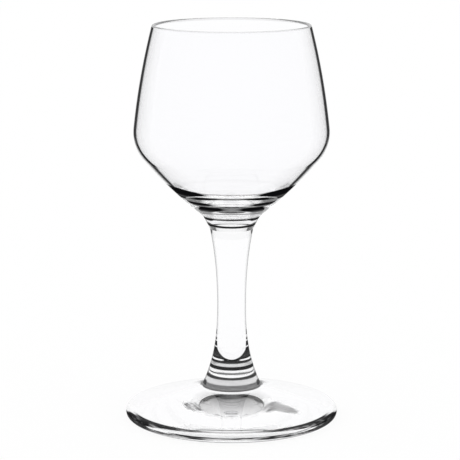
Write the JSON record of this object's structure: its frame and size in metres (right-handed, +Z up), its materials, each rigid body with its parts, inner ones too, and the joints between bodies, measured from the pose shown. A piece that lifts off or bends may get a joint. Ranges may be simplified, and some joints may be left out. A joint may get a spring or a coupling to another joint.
{
  "type": "vodka glass",
  "caption": "Clear stemmed vodka glass: a shouldered bowl with a heavy solid base on a waisted stem and a wide, gently coned foot.",
  "frame": {"origin": "centre of the foot's resting ring, on the surface that the glass stands on", "axes": "+Z up along the axis of the glass, from the foot to the rim; X and Y are any two level directions, as the glass is round"},
  "size_m": [0.0584, 0.0584, 0.108],
  "materials": {
    "bowl_glass": "clear soda-lime glass, fire polished",
    "stem_glass": "clear soda-lime glass, fire polished",
    "foot_glass": "clear soda-lime glass, fire polished, with a finely worn resting ring"
  },
  "bodies": {
    "root": {"bowl": "bowl_glass", "stem": "stem_glass", "foot": "foot_glass"}
  },
  "joints": []
}
